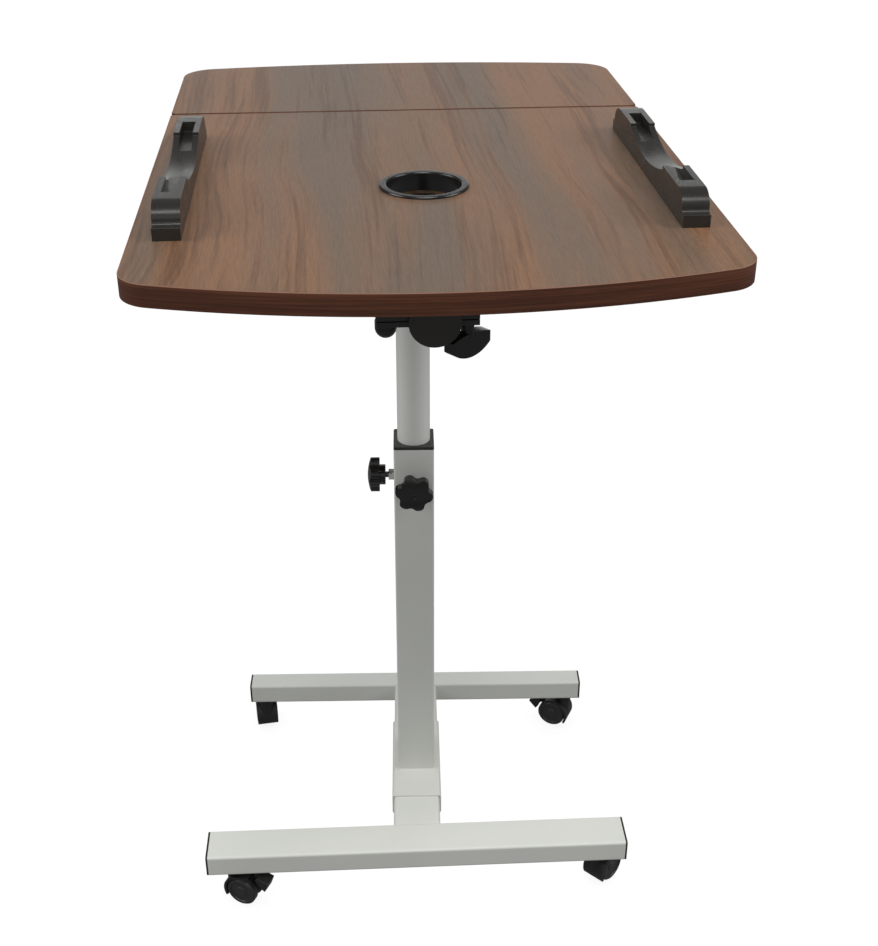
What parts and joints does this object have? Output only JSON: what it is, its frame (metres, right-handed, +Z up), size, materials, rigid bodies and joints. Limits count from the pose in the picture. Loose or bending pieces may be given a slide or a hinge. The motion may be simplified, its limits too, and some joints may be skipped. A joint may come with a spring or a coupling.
{
  "type": "rolling laptop desk",
  "caption": "Rolling laptop desk: tilting main panel and fixed side shelf on a height-adjustable swivelling mast over a foot with brake casters.",
  "frame": {"origin": "on the floor below the middle of the top, which is the bottom centre of the object's box", "axes": "+Z up; +Y from the near end of the top, where the user sits, to the side shelf; +X to the right seen from the near end. The top stands turned 3.26 degrees anticlockwise on its mast."},
  "size_m": [0.4282, 0.6019, 0.753],
  "materials": {
    "board": "walnut-grey wood-grain laminate, satin",
    "edge_band": "dark brown edge band",
    "powder_coat": "pale silver-grey powder coat, fine orange peel",
    "black_plastic": "moulded black plastic, fine grain",
    "black_casting": "black coated casting",
    "zinc_steel": "bright zinc plated",
    "caster_plastic": "black nylon, fine grain",
    "wheel_plastic": "black nylon tread, scuffed"
  },
  "bodies": {
    "root": {"near_foot_bar": "powder_coat", "far_foot_bar": "powder_coat", "near_bar_caps": "black_plastic", "far_bar_caps": "black_plastic", "foot_beam": "powder_coat", "beam_end_blocks": "black_plastic", "bar_bolts": "zinc_steel", "beam_sleeve": "powder_coat", "sleeve_screws": "zinc_steel", "square_post": "powder_coat", "post_collar": "black_plastic", "fixed_nuts": "zinc_steel", "caster_stems": "zinc_steel", "stem_nuts": "zinc_steel"},
    "lift": {"mast_glide": "black_plastic"},
    "mast": {"mast_tube": "powder_coat", "mast_plug": "black_plastic", "mast_socket": "black_casting", "socket_screws": "zinc_steel", "tilt_tube": "powder_coat", "tilt_tube_caps": "black_plastic", "shelf_brackets": "powder_coat", "side_shelf": "board", "side_shelf_band": "edge_band", "shelf_bracket_screws": "zinc_steel"},
    "desk_top": {"main_panel": "board", "main_panel_band": "edge_band", "grommet": "black_plastic", "left_stop": "black_plastic", "right_stop": "black_plastic", "stop_screws": "zinc_steel", "clamp_upper": "black_casting", "clamp_lower": "black_casting", "clamp_bolt": "black_casting", "clamp_screw_nut": "zinc_steel", "tilt_hinge": "black_casting", "panel_bracket_screws": "zinc_steel"},
    "clamp_thread": {"clamp_screw": "zinc_steel"},
    "clamp_lever": {"clamp_handle": "black_plastic"},
    "front_thread": {"front_stud": "zinc_steel"},
    "front_star": {"front_knob": "black_plastic"},
    "side_thread": {"side_stud": "zinc_steel"},
    "side_star": {"side_knob": "black_plastic"},
    "near_left_caster": {"near_left_hood": "caster_plastic", "near_left_brake_pin": "zinc_steel"},
    "near_left_wheel_pair": {"near_left_wheels": "wheel_plastic", "near_left_axle": "zinc_steel"},
    "near_left_pedal": {"near_left_brake": "caster_plastic"},
    "near_right_caster": {"near_right_hood": "caster_plastic"},
    "near_right_wheel_pair": {"near_right_wheels": "wheel_plastic", "near_right_axle": "zinc_steel"},
    "far_left_caster": {"far_left_hood": "caster_plastic"},
    "far_left_wheel_pair": {"far_left_wheels": "wheel_plastic", "far_left_axle": "zinc_steel"},
    "far_right_caster": {"far_right_hood": "caster_plastic", "far_right_brake_pin": "zinc_steel"},
    "far_right_wheel_pair": {"far_right_wheels": "wheel_plastic", "far_right_axle": "zinc_steel"},
    "far_right_pedal": {"far_right_brake": "caster_plastic"}
  },
  "joints": [
    {"name": "height_slide", "type": "slide", "parent": "root", "child": "lift", "axis": [0, 0, 1], "range_m": [-0.08, 0.19]},
    {"name": "top_swivel", "type": "hinge", "parent": "lift", "child": "mast", "pos_m": [-0.00341, 0.0599, 0.667], "axis": [0, 0, 1], "continuous": true},
    {"name": "panel_tilt", "type": "hinge", "parent": "mast", "child": "desk_top", "pos_m": [0, 0, 0.667], "axis": [-0.0569, 0.9984, 0], "range_deg": [-40, 40]},
    {"name": "clamp_thread_travel", "type": "slide", "parent": "desk_top", "child": "clamp_thread", "axis": [0, 0, -1], "range_m": [0, 0.0026]},
    {"name": "clamp_lever_turn", "type": "hinge", "parent": "clamp_thread", "child": "clamp_lever", "pos_m": [0.0342, -0.17834, 0.647], "axis": [0, 0, -1], "range_deg": [0, 720]},
    {"name": "front_thread_travel", "type": "slide", "parent": "root", "child": "front_thread", "axis": [0, -1, 0], "range_m": [0, 0.0026]},
    {"name": "front_star_turn", "type": "hinge", "parent": "front_thread", "child": "front_star", "pos_m": [-0.00341, 0.0199, 0.406], "axis": [0, -1, 0], "range_deg": [0, 720]},
    {"name": "side_thread_travel", "type": "slide", "parent": "root", "child": "side_thread", "axis": [-1, 0, 0], "range_m": [0, 0.0026]},
    {"name": "side_star_turn", "type": "hinge", "parent": "side_thread", "child": "side_star", "pos_m": [-0.04341, 0.0599, 0.406], "axis": [-1, 0, 0], "range_deg": [0, 720]},
    {"name": "near_left_swivel", "type": "hinge", "parent": "root", "child": "near_left_caster", "pos_m": [-0.18282, -0.06323, 0.042], "axis": [0, 0, 1], "continuous": true},
    {"name": "near_left_roll", "type": "hinge", "parent": "near_left_caster", "child": "near_left_wheel_pair", "pos_m": [-0.17232, -0.06791, 0.0155], "axis": [0.4067, 0.9135, 0], "continuous": true},
    {"name": "near_left_brake_press", "type": "hinge", "parent": "near_left_caster", "child": "near_left_pedal", "pos_m": [-0.16566, -0.07088, 0.02821], "axis": [0.4067, 0.9135, 0], "range_deg": [0, 26]},
    {"name": "near_right_swivel", "type": "hinge", "parent": "root", "child": "near_right_caster", "pos_m": [0.176, -0.05196, 0.042], "axis": [0, 0, 1], "continuous": true},
    {"name": "near_right_roll", "type": "hinge", "parent": "near_right_caster", "child": "near_right_wheel_pair", "pos_m": [0.18384, -0.04355, 0.0155], "axis": [-0.7314, 0.682, 0], "continuous": true},
    {"name": "far_left_swivel", "type": "hinge", "parent": "root", "child": "far_left_caster", "pos_m": [-0.17391, 0.1944, 0.042], "axis": [0, 0, 1], "continuous": true},
    {"name": "far_left_roll", "type": "hinge", "parent": "far_left_caster", "child": "far_left_wheel_pair", "pos_m": [-0.17591, 0.20573, 0.0155], "axis": [-0.9848, -0.1736, 0], "continuous": true},
    {"name": "far_right_swivel", "type": "hinge", "parent": "root", "child": "far_right_caster", "pos_m": [0.16709, 0.1944, 0.042], "axis": [0, 0, 1], "continuous": true},
    {"name": "far_right_roll", "type": "hinge", "parent": "far_right_caster", "child": "far_right_wheel_pair", "pos_m": [0.15666, 0.19926, 0.0155], "axis": [-0.4226, -0.9063, 0], "continuous": true},
    {"name": "far_right_brake_press", "type": "hinge", "parent": "far_right_caster", "child": "far_right_pedal", "pos_m": [0.15006, 0.20234, 0.02821], "axis": [-0.4226, -0.9063, 0], "range_deg": [-26, 0]}
  ],
  "couplings": [
    {"joint": "clamp_thread_travel", "follows": "clamp_lever_turn", "m_per_rad": 0.00019894},
    {"joint": "front_thread_travel", "follows": "front_star_turn", "m_per_rad": 0.00019894},
    {"joint": "side_thread_travel", "follows": "side_star_turn", "m_per_rad": 0.00019894}
  ]
}
